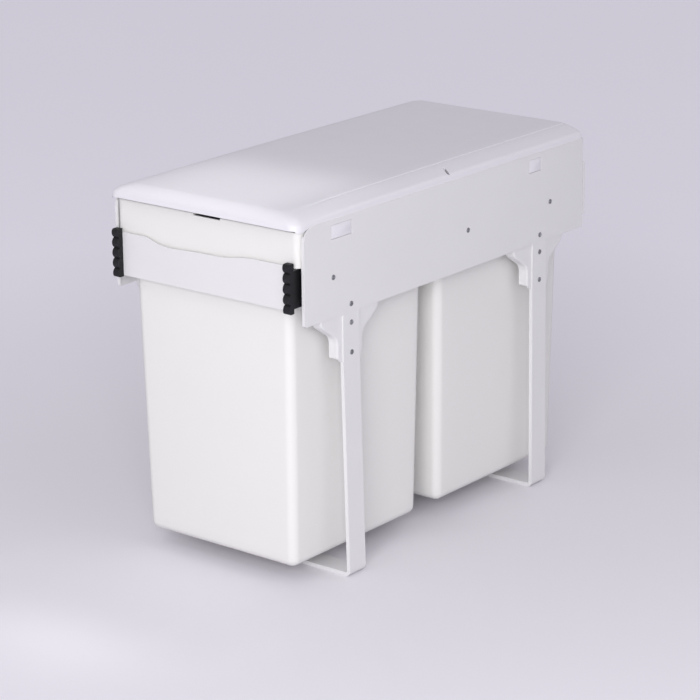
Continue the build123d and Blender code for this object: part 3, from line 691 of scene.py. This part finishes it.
# The floor is a disc of rings round the middle of the unit. To camera and mirror rays it is paler, and it glows
# faintly further out, so that the backdrop is even without more light on the unit.
def makeFloor():
    sides = surround["floorSides"]
    angle = np.linspace(0, 2 * math.pi, sides, endpoint=False)
    r, a = np.meshgrid(surround["floorRings"], angle, indexing="ij")
    points = np.stack([r * np.cos(a), r * np.sin(a), np.zeros_like(r)], -1).reshape(-1, 3)
    mesh = bpy.data.meshes.new("floor")
    faces = gridFaces(len(r), sides, closeColumns=True)[:, ::-1].tolist()
    faces.append(list(range(sides)))
    mesh.from_pydata(points.tolist(), [], faces)
    floor = bpy.data.objects.new("floor", mesh)
    scene.collection.objects.link(floor)
    material, tree, shader = newMaterial("floorLaminate", surround["floorColour"], surround["floorRoughness"])
    seen = addNode(tree, "ShaderNodeLightPath")
    direct = addNode(tree, "ShaderNodeMath", operation="MAXIMUM")
    tree.links.new(seen.outputs["Is Camera Ray"], direct.inputs[0])
    tree.links.new(seen.outputs["Is Glossy Ray"], direct.inputs[1])
    drift = addNoise(tree, (surround["driftPerMetre"],) * 3, detail=2.0)
    darker, paler = (shade(surround["floorSeen"], tone) for tone in surround["floorTones"])
    seenTone = mixColours(tree, drift, darker, paler)
    tone = mixColours(tree, direct.outputs[0], surround["floorColour"], seenTone)
    tree.links.new(tone, shader.inputs["Base Color"])
    where = addNode(tree, "ShaderNodeTexCoord")
    reach = addNode(tree, "ShaderNodeVectorMath", operation="LENGTH")
    tree.links.new(where.outputs["Object"], reach.inputs[0])
    glowRange = (surround["glowStart"], surround["glowEnd"])
    glow = addRamp(tree, reach.outputs["Value"], 0, surround["glowStrength"], *glowRange)
    shown = addNode(tree, "ShaderNodeMath", operation="MULTIPLY")
    tree.links.new(glow, shown.inputs[0])
    tree.links.new(direct.outputs[0], shown.inputs[1])
    shader.inputs["Emission Color"].default_value = (*surround["glow"], 1)
    tree.links.new(shown.outputs[0], shader.inputs["Emission Strength"])
    mesh.materials.append(material)


def makeWorld():
    world = bpy.data.worlds.new("studio")
    world.use_nodes = True
    background = world.node_tree.nodes["Background"]
    background.inputs["Color"].default_value = (*surround["worldColour"], 1)
    background.inputs["Strength"].default_value = surround["worldStrength"]
    scene.world = world


# Square soft lamps in metres, watts and degrees: two for the whole unit, and two faint narrow ones that lift the
# front of the lid.
lamps = dict(
    key=dict(place=(1.35, -2.1, 0.9), aim=(0, 0, 0.25), size=1.2, power=34.5, spread=180),
    right=dict(place=(2.4, 0.1, 0.9), aim=(0, 0, 0.25), size=1.4, power=2.6, spread=180),
    lidFront=dict(place=(0, -0.95, 1.35), aim=(0, -0.33, 0.37), size=0.25, power=0.024, spread=22),
    lidAbove=dict(place=(0, 0, 0.78), aim=(0, -0.205, 0.37), size=0.18, power=0.027, spread=17),
)


def makeLamps():
    for name, lamp in lamps.items():
        data = bpy.data.lights.new(name, "AREA")
        data.size = lamp["size"]
        data.energy = lamp["power"]
        data.spread = math.radians(lamp["spread"])
        light = bpy.data.objects.new(name, data)
        light.location = lamp["place"]
        beam = Vector(lamp["aim"]) - Vector(lamp["place"])
        light.rotation_euler = beam.to_track_quat("-Z", "Y").to_euler()
        scene.collection.objects.link(light)


view = dict(yaw=38.67, elevation=17.39, roll=-0.59, place=(1.6757, -2.10455, 1.0103), focalPixels=2716,
            imagePixels=700, sensor=36)


# The camera looks along the back vector (sin a cos e, -cos a cos e, sin e) reversed, and rolls about it.
def makeCamera():
    a, e, roll = (math.radians(view[key]) for key in ("yaw", "elevation", "roll"))
    back = Vector((math.sin(a) * math.cos(e), -math.cos(a) * math.cos(e), math.sin(e)))
    right = (-back).cross(Vector((0, 0, 1))).normalized()
    up = right.cross(-back)
    rolledRight = math.cos(roll) * right + math.sin(roll) * up
    rolledUp = -math.sin(roll) * right + math.cos(roll) * up
    data = bpy.data.cameras.new("camera")
    data.sensor_width = view["sensor"]
    data.lens = view["sensor"] * view["focalPixels"] / view["imagePixels"]
    camera = bpy.data.objects.new("camera", data)
    turn = Matrix((rolledRight, rolledUp, back)).transposed().to_4x4()
    camera.matrix_world = Matrix.Translation(view["place"]) @ turn
    scene.collection.objects.link(camera)
    scene.camera = camera


makeFloor()
makeWorld()
makeLamps()
makeCamera()
scene.view_settings.view_transform = "Standard"
print("floor, lights and camera set")
